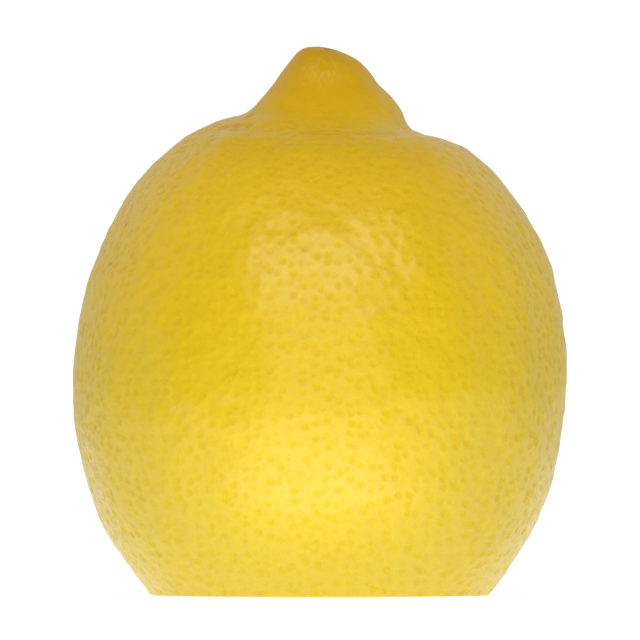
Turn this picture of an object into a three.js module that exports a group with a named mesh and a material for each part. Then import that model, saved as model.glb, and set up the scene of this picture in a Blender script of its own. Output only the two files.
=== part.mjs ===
// A lemon standing on a straight-cut base, with its nipple upward.
// Units are mm, +Z is up, and the cut face lies on z = 0.
import * as THREE from 'three';

// The outline runs from the crown down to the cut edge. Each entry is the distance from
// the upright axis and the height, first on the right (+X), then on the left (-X).
const CROWN_HEIGHT = 69.1;
const OUTLINE = [
  { right: [0, CROWN_HEIGHT], left: [0, CROWN_HEIGHT] },
  { right: [1.5, 68.86], left: [1.6, 69.05] },
  { right: [3.1, 68.3], left: [2.75, 68.5] },
  { right: [4.9, 67.3], left: [3.65, 67.5] },
  { right: [6.3, 65.9], left: [4.65, 66.2] },
  { right: [7.35, 64.35], left: [5.85, 64.45] },
  { right: [8.9, 62.7], left: [7.6, 62.6] },
  { right: [10.25, 60.95], left: [9.45, 60.95] },
  { right: [11, 59.3], left: [12.3, 59.95] },
  { right: [12.3, 58.25], left: [15.3, 58.5] },
  { right: [15.9, 57.5], left: [17.6, 57.2] },
  { right: [19.3, 55.6], left: [20.3, 54.95] },
  { right: [23.5, 51.4], left: [23.5, 51.3] },
  { right: [27.5, 45.35], left: [27, 45.3] },
  { right: [30.05, 37.9], left: [29.7, 37.6] },
  { right: [31.05, 28.7], left: [31.1, 27.2] },
  { right: [30.1, 19], left: [30.4, 19] },
  { right: [27.45, 9.5], left: [27.4, 9.4] },
  { right: [21.2, 0], left: [21.2, 0] },
];
// Where the rind would have carried on below the cut. It only sets the slope at the edge.
const BELOW_CUT = { right: [13.0, -8.5], left: [12.2, -8.5] };

// Low swellings round the shoulder, as on any hand-sized lemon.
const SWELLING_COUNT = 5;
const SWELLING_HEIGHT = 0.35;
const SWELLING_LEVEL = 52;
const SWELLING_REACH = 8;

// The dry scar left on the crown by the flower's style, in front and right of the axis.
const SCAR_X = 0.95;
const SCAR_Y = -0.95;
const SCAR_RADIUS = 0.75;
const SCAR_DEPTH = 0.45;

// Mesh fineness.
const COLUMNS = 64;
const ROWS_PER_SPAN = 3;

const RIND_COLOUR = 0xe3bb33;
const RIND_ROUGHNESS = 0.42;

// One side's outline as a smooth curve. The knot before the crown is the other side's
// first knot mirrored, so that the two sides meet level with each other at the top.
function sideCurve(side, otherSide) {
  const [acrossRadius, acrossHeight] = OUTLINE[1][otherSide];
  const knots = [new THREE.Vector2(-acrossRadius, acrossHeight)];
  for (const station of OUTLINE) {
    knots.push(new THREE.Vector2(...station[side]));
  }
  knots.push(new THREE.Vector2(...BELOW_CUT[side]));
  return new THREE.SplineCurve(knots);
}

const rightCurve = sideCurve('right', 'left');
const leftCurve = sideCurve('left', 'right');
const SPANS = OUTLINE.length - 1;
const ROWS = SPANS * ROWS_PER_SPAN;

// The radius and height of a row of the skin on one side. Row 0 is the crown.
function outlineAt(curve, row) {
  const spansInCurve = SPANS + 2;
  return curve.getPoint((1 + row / ROWS_PER_SPAN) / spansInCurve);
}

// A smooth bump that is 1 at nought and fades within about two widths.
const bell = (offset) => Math.exp(-(offset ** 2));

// A point of the skin: the left and right outlines are blended round the axis, then the
// shoulder's swellings and the scar's hollow are added.
function skinPoint(row, angle) {
  const rightShare = (1 + Math.cos(angle)) / 2;
  const onRight = outlineAt(rightCurve, row);
  const onLeft = outlineAt(leftCurve, row);
  const plain = onLeft.clone().lerp(onRight, rightShare);
  const swollen = SWELLING_HEIGHT * bell((plain.y - SWELLING_LEVEL) / SWELLING_REACH);
  const radius = plain.x + swollen * Math.sin(SWELLING_COUNT * angle);
  const x = radius * Math.cos(angle);
  const y = radius * Math.sin(angle);
  const z = plain.y - SCAR_DEPTH * bell(Math.hypot(x - SCAR_X, y - SCAR_Y) / SCAR_RADIUS);
  return new THREE.Vector3(x, y, row === ROWS ? 0 : z);
}

// The closed skin: a fan at the crown, rings down to the cut edge and a flat fan below.
function lemonGeometry() {
  const points = [skinPoint(0, 0)];
  for (let row = 1; row <= ROWS; row += 1) {
    for (let column = 0; column < COLUMNS; column += 1) {
      points.push(skinPoint(row, (2 * Math.PI * column) / COLUMNS));
    }
  }
  const centreOfCut = points.length;
  points.push(new THREE.Vector3(0, 0, 0));

  const at = (row, column) => 1 + (row - 1) * COLUMNS + (column % COLUMNS);
  const faces = [];
  for (let column = 0; column < COLUMNS; column += 1) {
    faces.push(0, at(1, column), at(1, column + 1));
    for (let row = 1; row < ROWS; row += 1) {
      faces.push(at(row, column), at(row + 1, column), at(row + 1, column + 1));
      faces.push(at(row, column), at(row + 1, column + 1), at(row, column + 1));
    }
    faces.push(centreOfCut, at(ROWS, column + 1), at(ROWS, column));
  }

  const geometry = new THREE.BufferGeometry().setFromPoints(points);
  geometry.setIndex(faces);
  geometry.computeBoundingBox();
  const centre = geometry.boundingBox.getCenter(new THREE.Vector3());
  geometry.translate(-centre.x, -centre.y, 0);
  geometry.computeVertexNormals();
  return geometry;
}

const rind = new THREE.MeshStandardMaterial({
  color: RIND_COLOUR,
  roughness: RIND_ROUGHNESS,
  metalness: 0,
});
const lemon = new THREE.Mesh(lemonGeometry(), rind);
lemon.name = 'lemon';

const model = new THREE.Group();
model.name = 'cut_lemon';
model.add(lemon);

export default model;
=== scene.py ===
"""A lemon that stands on its straight-cut end, with its nipple upward.

The whole fruit is one closed skin: a fine grid over the crown, rows of rind down to the cut
edge, and the cut face underneath. Lengths in the tables and formulas are in millimetres, and
MM turns them into Blender's metres.
"""
import math

import bpy
import numpy as np
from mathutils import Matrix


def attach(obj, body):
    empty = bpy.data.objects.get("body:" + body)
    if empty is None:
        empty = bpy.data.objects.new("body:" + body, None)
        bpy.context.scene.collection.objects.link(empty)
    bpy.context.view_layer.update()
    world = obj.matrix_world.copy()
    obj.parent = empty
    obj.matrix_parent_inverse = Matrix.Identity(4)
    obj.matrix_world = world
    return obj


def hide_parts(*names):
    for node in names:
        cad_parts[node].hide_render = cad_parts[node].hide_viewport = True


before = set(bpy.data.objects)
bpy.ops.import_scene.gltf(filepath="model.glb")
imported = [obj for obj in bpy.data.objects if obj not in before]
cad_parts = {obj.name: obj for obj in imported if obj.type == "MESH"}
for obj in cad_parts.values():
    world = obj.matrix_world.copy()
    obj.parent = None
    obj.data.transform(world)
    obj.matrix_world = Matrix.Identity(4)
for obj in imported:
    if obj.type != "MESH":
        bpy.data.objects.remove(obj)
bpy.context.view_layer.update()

MM = 0.001

# ---------------------------------------------------------------- driving sizes, in mm

# The outline from the crown down to the cut edge: radius and height on the right (+X), then
# radius and height on the left (-X).
CROWN_HEIGHT = 69.1
CUT_RADIUS = 21.2
OUTLINE = np.array([
    [0.0, CROWN_HEIGHT, 0.0, CROWN_HEIGHT],
    [1.5, 68.86, 1.6, 69.05],
    [3.1, 68.3, 2.75, 68.5],
    [4.9, 67.3, 3.65, 67.5],
    [6.3, 65.9, 4.65, 66.2],
    [7.35, 64.35, 5.85, 64.45],
    [8.9, 62.7, 7.6, 62.6],
    [10.25, 60.95, 9.45, 60.95],
    [11.0, 59.3, 12.3, 59.95],
    [12.3, 58.25, 15.3, 58.5],
    [15.9, 57.5, 17.6, 57.2],
    [19.3, 55.6, 20.3, 54.95],
    [23.5, 51.4, 23.5, 51.3],
    [27.5, 45.35, 27.0, 45.3],
    [30.05, 37.9, 29.7, 37.6],
    [31.05, 28.7, 31.1, 27.2],
    [30.1, 19.0, 30.4, 19.0],
    [27.45, 9.5, 27.4, 9.4],
    [CUT_RADIUS, 0.0, CUT_RADIUS, 0.0],
])
BELOW_CUT = np.array([13.0, -8.5, 12.2, -8.5])   # only sets the slope at the cut edge
SPANS = len(OUTLINE) - 1

WIDEST = 28.0             # height at which the fruit is about widest
SHOULDER = 52.0           # height of the shoulder that the nipple rises from
NIPPLE_FOOT = 59.0        # height where the nipple meets the shoulder
NIPPLE_START = 58.0       # the body's rind fades into the nipple's smoother rind
NIPPLE_FULL = 63.0        # between these two heights

SWELLING_COUNT = 5        # low swellings round the shoulder
SWELLING_HEIGHT = 0.35
SWELLING_REACH = 8.0

BROAD_WAVES = (0.10, 11.0)     # height and wavelength of the rind's undulation
MIDDLE_WAVES = (0.05, 4.5)
SHORT_WAVES = (0.03, 1.9)      # these fade out on the nipple
WRINKLE_DEPTH = 0.22

SCAR = np.array([0.95, -0.95])   # where the dry scar lies on the crown, seen from above
SCAR_RADIUS = 0.75
SCAR_DEPTH = 0.45
SCAR_STAIN = 1.3                 # how far its brown reaches
SCAR_LIP = 0.08                  # height of the raised ring round it
SCAR_LIP_WIDTH = 0.35
CROWN_START, CROWN_FULL = 66.0, 68.0   # the scar is only made above these heights

PORE_PITCH = 1.45         # side of the squares that hold one oil pore each
PORE_SPREAD = 0.8         # how freely a pore strays in its square, from 0 to 1
PORE_DEPTH = 0.10
PORE_RIM = (0.08, 0.42, 0.12)  # inner edge, outer edge and its spread, in squares

# Marks on the rind, and an area of painted light: place and radius.
TIP_STREAKS = ((0.4, -5.0, 65.5), 4.0)
# Painted light: a paler area on the shelf below the nipple's foot, where it faces the lamps.
PAINTED_LIGHT_PATCH = ((8.5, -9.5, 58.0), 5.5)
SPECKS = (((-26.3, -10.7, 41.7), 0.55), ((-15.4, -10.9, 56.4), 0.45))

GRID = 108                # squares across the crown's and the cut face's grids
COLUMNS = 4 * GRID        # columns of rind round the fruit
ROWS = 172                # rows of rind from the crown's grid to the cut edge
CROWN_REACH = 10.5        # how far the crown's grid reaches along the outline
NEARLY_ONE = 1.0 - 1e-9   # past this share of the radius, a point is on the disc's rim

DISC_UV_RADIUS = 0.215    # of the crown's and the cut face's discs in the flat layout
CROWN_UV = [0.25, 0.76]
CUT_UV = [0.75, 0.76]

RIND_THICKNESS = 1.4      # on the cut face
PITH_THICKNESS = 2.6
SEGMENTS = 9
MEMBRANE = 0.45
CORE_RADIUS = 2.2
SOFT_EDGE = 0.45          # over which the pulp starts beside a membrane
CORNER_FILL = 1.4         # how far pith fills the corners between segments
SAC_DEPTH = 0.16          # the pulp's own depth, and the most that its sacs add
PITH_DEPTH = 0.05


# ---------------------------------------------------------------- shape

def smoothstep(low, high, value):
    """0 below low, 1 above high, and 3t^2 - 2t^3 between, where t is the share of the way."""
    share = np.clip((value - low) / (high - low), 0.0, 1.0)
    return share * share * (3.0 - 2.0 * share)


def bell(offset):
    """A smooth bump: 1 at nought, falling as exp(-offset^2)."""
    return np.exp(-offset ** 2)


def outline(side, spans):
    """Radius and height at places along one side of the outline, counted in knots.

    The knots are joined by uniform Catmull-Rom spans. With a, b, c, d four knots in a row and t
    running from 0 at b to 1 at c, a point is
    b + t (c - a) / 2 + t^2 (a - 5b/2 + 2c - d/2) + t^3 (3b - a - 3c + d) / 2.
    The knot before the crown is the other side's first knot mirrored, so the sides meet level.
    """
    own = slice(0, 2) if side == "right" else slice(2, 4)
    other = slice(2, 4) if side == "right" else slice(0, 2)
    across = OUTLINE[1, other] * [-1.0, 1.0]
    knots = np.vstack([across, OUTLINE[:, own], BELOW_CUT[own]])
    first = np.clip(np.floor(spans).astype(int), 0, SPANS - 1)
    t = (spans - first)[..., None]
    a, b, c, d = (knots[first + step] for step in range(4))
    line = b + t * (c - a) / 2
    return line + t ** 2 * (a - 2.5 * b + 2 * c - 0.5 * d) + t ** 3 * (3 * b - a - 3 * c + d) / 2


def blended_outline(spans, angle):
    """Radius and height all round: right and left outlines mixed by (1 + cos angle) / 2."""
    right_share = ((1.0 + np.cos(angle)) / 2.0)[..., None]
    return right_share * outline("right", spans) + (1.0 - right_share) * outline("left", spans)


def smooth_rind(spans, angle):
    """Points and outward directions of the rind before its fine relief.

    A point is (R cos angle, R sin angle, height), where R is the blended outline's radius plus
    the shoulder's swellings, height * sin(count * angle) * bell(level). The outward direction
    is the outline's normal turned to the angle, and straight up at the crown.
    """
    radius, height = np.moveaxis(blended_outline(spans, angle), -1, 0)
    swollen = SWELLING_HEIGHT * bell((height - SHOULDER) / SWELLING_REACH)
    radius = radius + swollen * np.sin(SWELLING_COUNT * angle)
    step = 0.02
    ahead = blended_outline(np.minimum(spans + step, SPANS), angle)
    behind = blended_outline(np.maximum(spans - step, 0.0), angle)
    run, fall = np.moveaxis(ahead - behind, -1, 0)
    outward = -fall * smoothstep(0.0, 1.5, radius)
    length = np.hypot(outward, run)
    around = np.stack([np.cos(angle), np.sin(angle)], axis=-1)
    points = np.concatenate([radius[..., None] * around, height[..., None]], axis=-1)
    across = (outward / length)[..., None] * around
    return points, np.concatenate([across, (run / length)[..., None]], axis=-1)


def waves(points, wavelength, seed):
    """A smooth random field, mostly between -1 and 1, made of 24 sine waves of one length.

    field = sum of sin(2 pi direction . p / wavelength + phase) / sqrt(24), in random directions.
    """
    count = 24
    draw = np.random.default_rng(seed)
    directions = draw.normal(size=(count, 3))
    directions /= np.linalg.norm(directions, axis=1, keepdims=True)
    phases = draw.uniform(0.0, 2.0 * math.pi, count)
    turns = 2.0 * math.pi / wavelength * (points @ directions.T) + phases
    return np.sin(turns).sum(axis=-1) / math.sqrt(count)


def near_line(points, start, end, width):
    """A bell across the straight line from start to end, with rounded ends."""
    start, end = np.array(start), np.array(end)
    along = end - start
    share = np.clip((points - start) @ along / (along @ along), 0.0, 1.0)
    gap = np.linalg.norm(points - start - share[..., None] * along, axis=-1)
    return bell(gap / width)


# Wrinkles where the nipple's left foot runs into the shoulder: start, end and half width.
CREASES = (
    ((-8.4, -5.6, 60.9), (-9.6, -7.0, 59.9), 0.55),
    ((-12.6, -7.0, 58.75), (-10.6, -8.6, 58.9), 0.5),
    ((-10.4, -9.0, 58.7), (-9.0, -10.2, 58.9), 0.6),
)


def crease_share(points):
    """How much of a wrinkle is at each point, from 0 to 1."""
    return np.clip(sum(near_line(points, *crease) for crease in CREASES), 0.0, 1.0)


def rind_relief(points):
    """How far the rind stands out from its smooth shape: undulation, wrinkles and scar."""
    on_body = 1.0 - 0.75 * smoothstep(NIPPLE_START, NIPPLE_FULL, points[:, 2])
    broad, middling, short = (height * waves(points, wavelength, seed) for seed, (height, wavelength)
                              in enumerate((BROAD_WAVES, MIDDLE_WAVES, SHORT_WAVES), start=1))
    relief = broad + middling
    relief = relief + short * on_body
    relief = relief - WRINKLE_DEPTH * crease_share(points)
    from_scar = np.hypot(*(points[:, :2] - SCAR).T)
    lip = bell((from_scar - 1.5 * SCAR_RADIUS) / SCAR_LIP_WIDTH)
    on_crown = smoothstep(CROWN_START, CROWN_FULL, points[:, 2])
    return relief + on_crown * (SCAR_LIP * lip - SCAR_DEPTH * bell(from_scar / SCAR_RADIUS))


def disc_grid(squares):
    """A square grid bent into a disc: share of the radius, angle, and the rim's order.

    With a and b from -1 to 1 across the grid, the share is max(|a|, |b|), and the angle moves
    evenly along each side: (pi / 4) b / a on the right side, and a quarter turn on for the next.
    """
    across = np.linspace(-1.0, 1.0, squares + 1)
    a, b = np.meshgrid(across, across, indexing="ij")
    share = np.maximum(np.abs(a), np.abs(b))
    flat = np.abs(a) >= np.abs(b)
    lead = np.where(flat, a, b)
    follow = np.where(flat, b, -a)
    slope = np.divide(follow, lead, out=np.zeros_like(lead), where=lead != 0.0)
    quarter = np.where(flat, np.where(lead < 0.0, 2, 0), np.where(lead < 0.0, 3, 1))
    angle = (quarter + slope / 2.0) * (math.pi / 2.0)
    on_rim = np.flatnonzero(share.ravel() > NEARLY_ONE)
    column = np.round(angle.ravel()[on_rim] / (2.0 * math.pi / (4 * squares))).astype(int)
    rim = on_rim[np.argsort(column % (4 * squares))]
    return share, angle, rim


def quads(ids):
    """Quads of a grid of vertex numbers, in the order that faces along row x column."""
    corners = [ids[:-1, :-1], ids[1:, :-1], ids[1:, 1:], ids[:-1, 1:]]
    return np.stack(corners, axis=-1).reshape(-1, 4)


def cut_face(share, angle, edge_radius):
    """Points of the cut face, hollowed upward, with its pulp and pith shares.

    The segments lie between the pith ring and the core, parted by membranes. The pulp's mask is
    the product of steps over the distance to the ring, the core and the nearest membrane. The
    pulp is sunk by about 0.2 to 0.4 mm, and the pith by PITH_DEPTH.
    """
    radius = share * np.interp(angle % (2.0 * math.pi), *edge_radius, period=2.0 * math.pi)
    x, y = radius * np.cos(angle), radius * np.sin(angle)
    flat = np.stack([x, y, np.zeros_like(x)], axis=-1)
    wobble = 0.35 * np.sin(2.0 * angle + 1.0) + 0.22 * np.sin(3.0 * angle)
    turn = (SEGMENTS * angle / (2.0 * math.pi) + wobble) % 1.0
    segment_width = 2.0 * math.pi * radius / SEGMENTS
    membrane_gap = np.minimum(turn, 1.0 - turn) * segment_width
    depth = CUT_RADIUS * (1.0 - share)
    outer = RIND_THICKNESS + PITH_THICKNESS + 0.35 * waves(flat, 6.0, 5)
    corner = CORNER_FILL * np.exp(-membrane_gap / 0.9)
    pulp = smoothstep(0.0, 0.5, depth - outer - corner)
    pulp = pulp * smoothstep(MEMBRANE / 2, MEMBRANE / 2 + SOFT_EDGE, membrane_gap)
    pulp = pulp * smoothstep(0.0, 0.6, radius - CORE_RADIUS)
    sacs = 0.5 + 0.5 * waves(flat, 1.9, 6)
    sunk = pulp * (SAC_DEPTH + SAC_DEPTH * sacs)
    sunk = sunk + PITH_DEPTH * smoothstep(RIND_THICKNESS - 0.3, RIND_THICKNESS + 0.2, depth)
    points = np.stack([x, y, np.where(share > NEARLY_ONE, 0.0, sunk)], axis=-1)
    pith = smoothstep(RIND_THICKNESS - 0.35, RIND_THICKNESS + 0.15, depth)
    return points, pulp, pith


def lemon_mesh():
    """The whole lemon as one closed mesh: crown grid, rows of rind and cut face.

    The crown's grid and the rows share their joint ring, and so do the rows and the cut face.
    Places along the outline are spread evenly by arc length.
    """
    share, angle, rim = disc_grid(GRID)
    spans_table = np.linspace(0.0, SPANS, 2000)
    middle = (outline("right", spans_table) + outline("left", spans_table)) / 2.0
    lengths = np.concatenate([[0.0], np.cumsum(np.linalg.norm(np.diff(middle, axis=0), axis=1))])

    crown_spans = np.interp(share * CROWN_REACH, lengths, spans_table)
    crown, crown_out = smooth_rind(crown_spans.ravel(), angle.ravel())
    row_lengths = np.linspace(CROWN_REACH, lengths[-1], ROWS + 1)[1:]
    row_spans = np.interp(row_lengths, lengths, spans_table)
    columns = np.arange(COLUMNS) * (2.0 * math.pi / COLUMNS)
    side_grids = np.meshgrid(row_spans, columns, indexing="ij")
    side_spans, side_angles = (grid.ravel() for grid in side_grids)
    side, side_out = smooth_rind(side_spans, side_angles)

    rind = np.vstack([crown, side])
    rind = rind + rind_relief(rind)[:, None] * np.vstack([crown_out, side_out])
    edge = rind[-COLUMNS:]
    edge[:, 2] = 0.0
    edge_radius = (columns, np.hypot(edge[:, 0], edge[:, 1]))
    cut, pulp, pith = cut_face(share.ravel(), angle.ravel(), edge_radius)

    crown_ids = np.arange(share.size).reshape(share.shape)
    side_ids = share.size + np.arange(ROWS * COLUMNS).reshape(ROWS, COLUMNS)
    rows_ids = np.vstack([rim[None], side_ids])
    wrapped = np.hstack([rows_ids, rows_ids[:, :1]])
    inside = np.ones(share.size, bool)
    inside[rim] = False
    cut_ids = np.empty(share.size, int)
    cut_ids[inside] = len(rind) + np.arange(inside.sum())
    cut_ids[rim] = side_ids[-1]
    cut_ids = cut_ids.reshape(share.shape)

    points = np.vstack([rind, cut[inside]])
    faces = np.vstack([quads(crown_ids), quads(wrapped), quads(cut_ids)[:, ::-1]])

    # Flat layout for baking: the rows fill the lower half, and the two discs the upper half.
    disc = DISC_UV_RADIUS * share[..., None] * np.stack([np.cos(angle), np.sin(angle)], axis=-1)
    strip = np.stack(np.meshgrid(np.linspace(0.5, 0.01, ROWS + 1),
                                 np.linspace(0.01, 0.99, COLUMNS + 1), indexing="ij")[::-1], axis=-1)
    disc_quads = quads(np.arange(share.size).reshape(share.shape))
    strip_quads = quads(np.arange((ROWS + 1) * (COLUMNS + 1)).reshape(ROWS + 1, COLUMNS + 1))
    crown_uv = (disc + CROWN_UV).reshape(-1, 2)[disc_quads]
    cut_uv = (disc + CUT_UV).reshape(-1, 2)[disc_quads[:, ::-1]]
    strip_uv = strip.reshape(-1, 2)[strip_quads]
    uv = np.vstack([crown_uv, strip_uv, cut_uv])

    mesh = bpy.data.meshes.new("lemon_skin")
    mesh.from_pydata(points * MM, [], faces)
    mesh.polygons.foreach_set("use_smooth", np.ones(len(faces), bool))
    on_cut = np.zeros(len(faces), np.int32)
    on_cut[len(faces) - GRID * GRID:] = 1
    mesh.polygons.foreach_set("material_index", on_cut)
    mesh.uv_layers.new(name="OFBake").data.foreach_set("uv", uv.ravel())

    on_rind = np.arange(len(points)) < len(rind)
    masks = {"crease": np.where(on_rind, crease_share(points), 0.0), "arc": np.zeros(len(points)),
             "pulp": np.zeros(len(points)), "pith": np.zeros(len(points))}
    arcs = [share.ravel() * CROWN_REACH, np.repeat(row_lengths, COLUMNS)]
    masks["arc"][:len(rind)] = np.concatenate(arcs)
    masks["pulp"][len(rind):] = pulp[inside]
    masks["pith"][len(rind):] = pith[inside]
    for name, values in masks.items():
        mesh.attributes.new(name, "FLOAT", "POINT").data.foreach_set("value", values.astype(np.float32))

    edges = np.empty(2 * len(mesh.edges), np.int32)
    mesh.edges.foreach_get("vertices", edges)
    edges = edges.reshape(-1, 2)
    sharp = np.isin(edges, side_ids[-1]).all(axis=1)
    mesh.attributes.new("sharp_edge", "BOOLEAN", "EDGE").data.foreach_set("value", sharp)
    mesh.update()
    mesh.validate()
    return mesh


# ---------------------------------------------------------------- shader tools

class Value:
    """A shader value or colour. Arithmetic on it adds Math nodes to its material."""

    def __init__(self, material, socket):
        self.material = material
        self.socket = socket

    def math(self, operation, *operands):
        return self.material.add("ShaderNodeMath", {"operation": operation}, dict(enumerate(operands)))

    def __add__(self, other):
        return self.math("ADD", self, other)

    __radd__ = __add__

    def __sub__(self, other):
        return self.math("SUBTRACT", self, other)

    def __rsub__(self, other):
        return self.math("SUBTRACT", other, self)

    def __mul__(self, other):
        return self.math("MULTIPLY", self, other)

    __rmul__ = __mul__

    def __truediv__(self, other):
        return self.math("DIVIDE", self, other)

    def __pow__(self, other):
        return self.math("POWER", self, other)


class Material:
    """A material, or a world, whose nodes are all made by add()."""

    def __init__(self, made):
        self.made = made
        self.made.use_nodes = True
        self.tree = self.made.node_tree
        self.tree.nodes.clear()

    def add(self, kind, settings=None, inputs=None, output=0):
        """Make a node: its settings first, then the values or links of its sockets."""
        node = self.tree.nodes.new(kind)
        for name, setting in (settings or {}).items():
            if name == "stops":
                self.set_stops(node.color_ramp.elements, setting)
            else:
                setattr(node, name, setting)
        for key, given in (inputs or {}).items():
            if isinstance(given, Value):
                self.tree.links.new(given.socket, node.inputs[key])
            else:
                node.inputs[key].default_value = given
        return Value(self, node.outputs[output]) if node.outputs else None

    def set_stops(self, elements, stops):
        """Fill a colour ramp with (place, colour) stops."""
        while len(elements) < len(stops):
            elements.new(1.0)
        for element, (place, colour) in zip(elements, stops):
            element.position = place
            element.color = (*colour, 1.0)

    def places(self):
        """Object coordinates in mm, and their x, y and z."""
        metres = self.add("ShaderNodeTexCoord", output="Object")
        vector = self.add("ShaderNodeVectorMath", {"operation": "SCALE"}, {0: metres, "Scale": 1.0 / MM})
        axes = [self.add("ShaderNodeSeparateXYZ", inputs={0: vector}, output=axis) for axis in "XYZ"]
        return vector, axes

    def attribute(self, name):
        return self.add("ShaderNodeAttribute", {"attribute_name": name}, output="Fac")

    def step(self, low, high, value):
        """Smooth step from 0 at low to 1 at high."""
        return self.add("ShaderNodeMapRange", {"interpolation_type": "SMOOTHSTEP"},
                        {"Value": value, "From Min": low, "From Max": high})

    def mix(self, share, first, second, blend="MIX"):
        """Two colours mixed by a share."""
        colours = [(*colour, 1.0) if isinstance(colour, tuple) else colour for colour in (first, second)]
        return self.add("ShaderNodeMix", {"data_type": "RGBA", "blend_type": blend},
                        {0: share, 6: colours[0], 7: colours[1]}, output=2)

    def noise(self, vector, size, detail=2.0, roughness=0.5):
        """Noise between about 0.3 and 0.7 whose lumps are about size mm across."""
        return self.add("ShaderNodeTexNoise", {},
                        {"Vector": vector, "Scale": 1.0 / size, "Detail": detail, "Roughness": roughness})

    def pores(self, across, along):
        """Round hollows, one in each square of a flat chart in mm, wide and narrow, deep and faint.

        The value is 0 outside a pore and between 0.35 and 1 at its middle.
        """
        chart = self.add("ShaderNodeCombineXYZ", inputs={0: across, 1: along, 2: 0.0})
        scatter = {"Vector": chart, "Scale": 1.0 / PORE_PITCH, "Randomness": PORE_SPREAD}
        gap = self.add("ShaderNodeTexVoronoi", {"voronoi_dimensions": "2D"}, scatter, output="Distance")
        cell = self.add("ShaderNodeTexVoronoi", {"voronoi_dimensions": "2D"}, scatter, output="Color")
        draw = self.add("ShaderNodeSeparateColor", inputs={0: cell}, output=0)
        inner, outer, spread = PORE_RIM
        return (1.0 - self.step(inner, outer + spread * draw, gap)) * (0.35 + 0.65 * draw)

    def near(self, vector, place, radius):
        """1 at a place (mm), falling to 0 at the radius."""
        gap = self.add("ShaderNodeVectorMath", {"operation": "DISTANCE"},
                       {0: vector, 1: place}, output="Value")
        return 1.0 - self.step(0.0, radius, gap)

    def bump(self, height, depth, normal=None):
        """A normal whose height of 1 stands depth mm proud."""
        inputs = {"Height": height, "Distance": depth * MM, "Strength": 1.0}
        if normal is not None:
            inputs["Normal"] = normal
        return self.add("ShaderNodeBump", {}, inputs)

    def finish(self, **sockets):
        """The surface shader, with its sockets set or linked, as the material's output."""
        named = {name.replace("_", " "): given for name, given in sockets.items()}
        shader = self.add("ShaderNodeBsdfPrincipled", {}, named)
        self.add("ShaderNodeOutputMaterial", {}, {"Surface": shader})
        return self.made


# ---------------------------------------------------------------- materials

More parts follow.
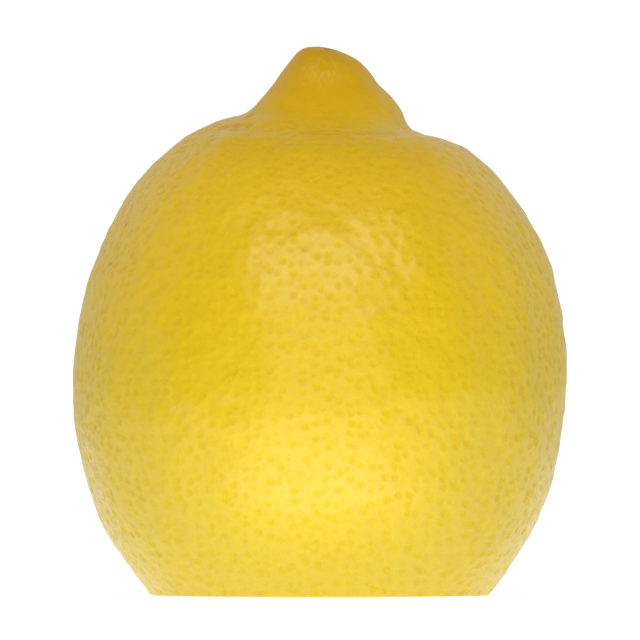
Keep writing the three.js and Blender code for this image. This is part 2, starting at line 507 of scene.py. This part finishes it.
def rind_material():
    """Ripe rind, with oil pores, mottling and small blemishes. By height it is golden at the nipple and
    paler below, partly its own tone and partly painted light and shade; the pores and wrinkles carry
    painted shade, and the shelf below the nipple's foot carries painted light.
    """
    rind = Material(bpy.data.materials.new("lemon_rind"))
    vector, (x, y, z) = rind.places()

    # Colour by height: partly the rind's own tone, golden towards the nipple, and partly painted light and
    # shade, each height made lighter or darker to even out how the lamps fall there.
    height_tone_and_shade = rind.add("ShaderNodeValToRGB", {"stops": [
        (0.0, (0.80, 0.60, 0.02)),
        (WIDEST / CROWN_HEIGHT, (0.78, 0.55, 0.01)),
        (SHOULDER / CROWN_HEIGHT, (0.93, 0.60, 0.01)),
        (NIPPLE_FOOT / CROWN_HEIGHT, (0.92, 0.56, 0.005)),
        (1.0, (0.76, 0.41, 0.002)),
    ]}, {0: z / CROWN_HEIGHT})

    blotches = rind.step(0.35, 0.65, rind.noise(vector, 16.0, 3.0))
    colour = rind.mix(blotches * 0.25, height_tone_and_shade, (0.97, 0.92, 0.60), "MULTIPLY")
    mottle = rind.step(0.3, 0.7, rind.noise(vector, 2.6, 4.0, 0.6))
    colour = rind.mix(mottle * 0.10, colour, (0.90, 0.84, 0.45), "MULTIPLY")
    speckle = rind.step(0.35, 0.75, rind.noise(vector, 0.55, 3.0, 0.7))
    colour = rind.mix(speckle * 0.05, colour, (1.0, 0.80, 0.05))

    # Pores are scattered over two flat charts of the rind, x by arc on the front and back and y by
    # arc on the sides, and the charts fade into each other halfway round.
    arc = rind.attribute("arc")
    sides = rind.step(-0.25, 0.25, (x * x - y * y) / (x * x + y * y + 0.01))
    front_pores, side_pores = (rind.pores(across, arc) for across in (x, y))
    nipple = rind.step(NIPPLE_START, NIPPLE_FULL, z)
    hollow = (front_pores * (1.0 - sides) + side_pores * sides) * (1.0 - 0.75 * nipple)
    # Painted shade: the pore hollows are tinted darker and more orange.
    colour = rind.mix(hollow * 0.12, colour, (0.86, 0.74, 0.35), "MULTIPLY")

    crease = rind.attribute("crease")
    # Painted shade in the wrinkles: they are made darker orange, with blotches of dark brown within.
    crease_shade_blotches = crease * rind.step(0.4, 0.65, rind.noise(vector, 1.2, 3.0))
    colour = rind.mix(crease * 0.45, colour, (0.72, 0.36, 0.010))
    colour = rind.mix(crease_shade_blotches * 0.35, colour, (0.40, 0.22, 0.02))
    drawn_out = rind.add("ShaderNodeVectorMath", {"operation": "MULTIPLY"}, {0: vector, 1: (1.0, 1.0, 0.2)})
    streaks = rind.step(0.42, 0.62, rind.noise(drawn_out, 0.45, 1.0)) * rind.near(vector, *TIP_STREAKS)
    colour = rind.mix(streaks * 0.45, colour, (0.80, 0.60, 0.10))
    # Painted light: the shelf below the nipple's foot is made paler, as if lit.
    painted_light_patch = rind.near(vector, *PAINTED_LIGHT_PATCH)
    colour = rind.mix(painted_light_patch * 0.5, colour, (0.86, 0.62, 0.07))
    scar = rind.near(vector, (SCAR[0], SCAR[1], CROWN_HEIGHT - 0.6), SCAR_STAIN)
    colour = rind.mix(scar * 0.9, colour, (0.20, 0.11, 0.06))
    for place, radius in SPECKS:
        colour = rind.mix(rind.near(vector, place, radius) * 0.8, colour, (0.28, 0.16, 0.04))

    fine = rind.noise(vector, 0.35, 2.0, 0.5)
    soft = rind.noise(vector, 1.3, 2.0, 0.5)
    surface = rind.bump(soft, 0.13)
    surface = rind.bump(1.0 - hollow, PORE_DEPTH, surface)
    surface = rind.bump(fine, 0.012, surface)

    roughness = 0.38 + 0.06 * hollow + 0.04 * mottle
    # The wax is thickest near the cut edge, thinner above, and missing in the pores.
    body_wax = 0.62 - 0.20 * rind.step(8.0, 32.0, z)
    wax = body_wax * (1.0 - hollow) * (1.0 - 0.65 * nipple)
    return rind.finish(Base_Color=colour, Roughness=roughness, Normal=surface, Coat_Weight=wax,
                       Coat_Roughness=0.26, Coat_IOR=1.7,
                       Subsurface_Weight=0.12, Subsurface_Radius=(1.0, 0.5, 0.12),
                       Subsurface_Scale=0.0012, Specular_IOR_Level=0.12, IOR=1.45)


def cut_material():
    """The cut face: a thin yellow rim of rind, white pith and wet, pale yellow pulp."""
    cut = Material(bpy.data.materials.new("lemon_cut_face"))
    vector, axes = cut.places()
    x, y = axes[:2]
    pith, pulp = cut.attribute("pith"), cut.attribute("pulp")
    turn = cut.add("ShaderNodeMath", {"operation": "ARCTAN2"}, {0: y, 1: x})
    radius = (x * x + y * y) ** 0.5
    polar = cut.add("ShaderNodeCombineXYZ", inputs={0: turn * 16.0, 1: radius * 0.35, 2: 0.0})
    sacs = cut.add("ShaderNodeTexVoronoi", {}, {"Vector": polar, "Scale": 1.0}, output="Distance")
    grain = cut.noise(vector, 0.9, 3.0)
    colour = cut.mix(pith, (0.86, 0.62, 0.05), (0.88, 0.85, 0.68))
    flesh = cut.mix(cut.step(0.1, 0.7, sacs), (0.80, 0.66, 0.16), (0.92, 0.84, 0.42))
    colour = cut.mix(pulp, colour, flesh)
    colour = cut.mix(cut.step(0.4, 0.7, grain) * 0.15, colour, (0.95, 0.92, 0.75))
    surface = cut.bump(sacs * pulp, -0.15, cut.bump(grain, 0.05))
    return cut.finish(Base_Color=colour, Roughness=0.55 - 0.30 * pulp, Normal=surface,
                      Subsurface_Weight=0.2, Subsurface_Radius=(1.0, 0.7, 0.3),
                      Subsurface_Scale=0.002, IOR=1.4)


def floor_material():
    """Plain white studio table, mostly self-lit so that it reads as pale as its backdrop."""
    floor = Material(bpy.data.materials.new("white_table"))
    return floor.finish(Base_Color=(0.4, 0.4, 0.4, 1.0), Roughness=0.9,
                        Emission_Color=(1.0, 1.0, 1.0, 1.0), Emission_Strength=0.80)


# ---------------------------------------------------------------- the lemon

lemon = bpy.data.objects.new("lemon_fruit", lemon_mesh())
bpy.context.scene.collection.objects.link(lemon)
lemon.data.materials.append(rind_material())
lemon.data.materials.append(cut_material())
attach(lemon, "root")
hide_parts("lemon")


# ---------------------------------------------------------------- studio

def disc_floor(radius, sides=96):
    """A flat disc at height 0: one ring of points at (radius cos a, radius sin a)."""
    angle = np.arange(sides) * (2.0 * math.pi / sides)
    ring = np.stack([radius * np.cos(angle), radius * np.sin(angle), np.zeros(sides)], axis=-1)
    mesh = bpy.data.meshes.new("table_top")
    mesh.from_pydata(ring, [], [list(range(sides))])
    return mesh


TABLE_RADIUS = 0.25
TABLE_GAP = 0.00005           # keeps the table's top just under the cut face

table = bpy.data.objects.new("table", disc_floor(TABLE_RADIUS))
bpy.context.scene.collection.objects.link(table)
table.data.materials.append(floor_material())
table.location.z = -TABLE_GAP


def soft_light(name, place, target, width, height, radiance):
    """An area light of the given size in metres and radiance, turned to face the target."""
    light = bpy.data.lights.new(name, "AREA")
    light.shape = "RECTANGLE"
    light.size = width
    light.size_y = height
    light.energy = math.pi * width * height * radiance
    lamp = bpy.data.objects.new(name, light)
    bpy.context.scene.collection.objects.link(lamp)
    lamp.location = place
    towards = np.array(target) - np.array(place)
    pitch = math.atan2(math.hypot(towards[0], towards[1]), -towards[2])
    turn = math.atan2(-towards[0], towards[1])
    lamp.rotation_euler = (pitch, 0.0, turn)
    lamp.visible_camera = False


middle = (0.0, 0.0, CROWN_HEIGHT * MM / 2)
soft_light("softbox", (0.0, -0.38, 0.36), middle, width=0.50, height=0.26, radiance=2.8)
soft_light("front_panel", (0.0, -0.49, 0.112), middle, width=0.50, height=0.26, radiance=1.05)
# A card that lies on the table in front of the lemon and faces straight up.
CARD_Y = -0.061
soft_light("table_card", (0.0, CARD_Y, 0.0006), (0.0, CARD_Y, 1.0),
           width=0.050, height=0.046, radiance=1.05)


def white_room(front, back, ceiling, backdrop):
    """The light all round: front strength towards -Y, back strength towards +Y, and overhead.

    The strength is front + (back - front) * step(direction's y), which goes over to the
    ceiling's with step(direction's z). The backdrop that the camera sees is plain white.
    """
    bpy.context.scene.world = bpy.data.worlds.new("white_room")
    room = Material(bpy.context.scene.world)
    direction = room.add("ShaderNodeTexCoord", output="Generated")
    ahead = room.add("ShaderNodeSeparateXYZ", inputs={0: direction}, output="Y")
    up = room.add("ShaderNodeSeparateXYZ", inputs={0: direction}, output="Z")
    wall = front + (back - front) * room.step(-0.4, 0.1, ahead)
    strength = wall + (ceiling - wall) * room.step(0.5, 0.9, up)
    light = room.add("ShaderNodeBackground", inputs={"Color": (1.0, 1.0, 1.0, 1.0), "Strength": strength})
    plain = room.add("ShaderNodeBackground", inputs={"Color": (1.0, 1.0, 1.0, 1.0), "Strength": backdrop})
    seen = room.add("ShaderNodeLightPath", output="Is Camera Ray")
    choice = room.add("ShaderNodeMixShader", inputs={0: seen, 1: light, 2: plain})
    room.add("ShaderNodeOutputWorld", inputs={"Surface": choice})


white_room(front=0.05, back=0.66, ceiling=0.22, backdrop=1.05)

CAMERA_DISTANCE = 3.0
SENSOR_WIDTH = 36.0           # mm, as Blender counts it
VIEW_WIDTH = 80.64 * MM       # what the frame takes in at the lemon
VIEW_CENTRE = 34.67 * MM
lens = bpy.data.cameras.new("studio_camera")
lens.sensor_width = SENSOR_WIDTH
lens.lens = SENSOR_WIDTH * CAMERA_DISTANCE / VIEW_WIDTH
camera = bpy.data.objects.new("studio_camera", lens)
bpy.context.scene.collection.objects.link(camera)
camera.location = (0.0, -CAMERA_DISTANCE, VIEW_CENTRE)
camera.rotation_euler = (math.pi / 2.0, 0.0, 0.0)
bpy.context.scene.camera = camera

bpy.context.scene.view_settings.view_transform = "Standard"
bpy.context.scene.view_settings.look = "None"
